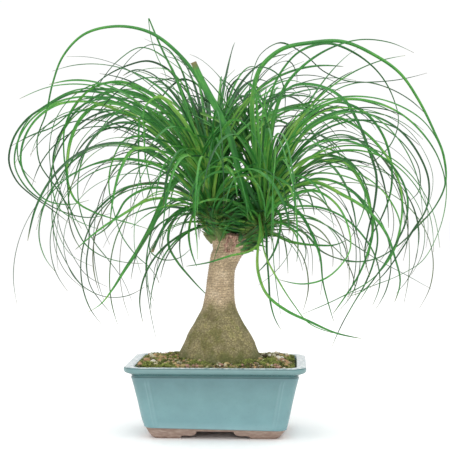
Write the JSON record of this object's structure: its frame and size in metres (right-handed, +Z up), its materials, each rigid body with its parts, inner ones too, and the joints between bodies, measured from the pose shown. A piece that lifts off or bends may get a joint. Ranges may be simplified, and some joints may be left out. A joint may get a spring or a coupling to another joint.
{
  "type": "potted ponytail palm",
  "caption": "Swollen-based ponytail palm with two heads of long arching leaves in a shallow rectangular glazed pot on corner feet.",
  "frame": {"origin": "centre of the whole outline seen from above, on the ground under the pot's feet; the pot's own middle is 8 mm to the left of it and 3 mm before it", "axes": "+X to the viewer's right along the pot's long side, +Y away from the viewer, +Z up"},
  "size_m": [0.5131, 0.4372, 0.4714],
  "materials": {
    "glazed_pot": "gloss",
    "drain_mesh": "matte",
    "soil": "matte",
    "bark": "matte",
    "leaf": "satin"
  },
  "bodies": {
    "root": {"pot": "glazed_pot", "drain_screen_left": "drain_mesh", "drain_screen_right": "drain_mesh", "soil": "soil", "trunk": "bark", "crown_left": "leaf", "crown_right": "leaf"}
  },
  "joints": []
}
